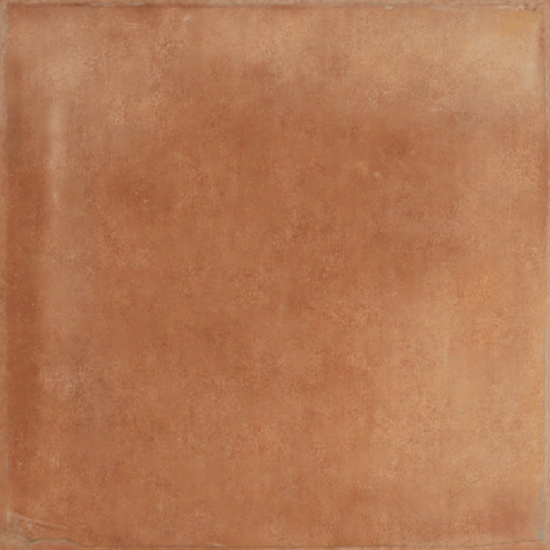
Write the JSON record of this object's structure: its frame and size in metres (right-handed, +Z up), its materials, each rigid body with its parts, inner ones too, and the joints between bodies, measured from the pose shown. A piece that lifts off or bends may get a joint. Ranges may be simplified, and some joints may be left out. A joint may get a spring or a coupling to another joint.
{
  "type": "square terracotta tile",
  "caption": "Square fired-clay floor tile with worn, uneven edges, a chipped corner and a waffle back that keys into a mortar or adhesive bed.",
  "frame": {"origin": "middle of the back, on the plane that the tile lies on", "axes": "+Z up out of the face, +Y towards the top edge of the face as pictured, +X towards its right edge"},
  "size_m": [0.3, 0.3, 0.014],
  "materials": {
    "terracotta": "matt fired clay, orange-brown mottled with paler and darker kiln flashes, worn pale and grey along the edges"
  },
  "bodies": {
    "root": {"tile": "terracotta"}
  },
  "joints": []
}
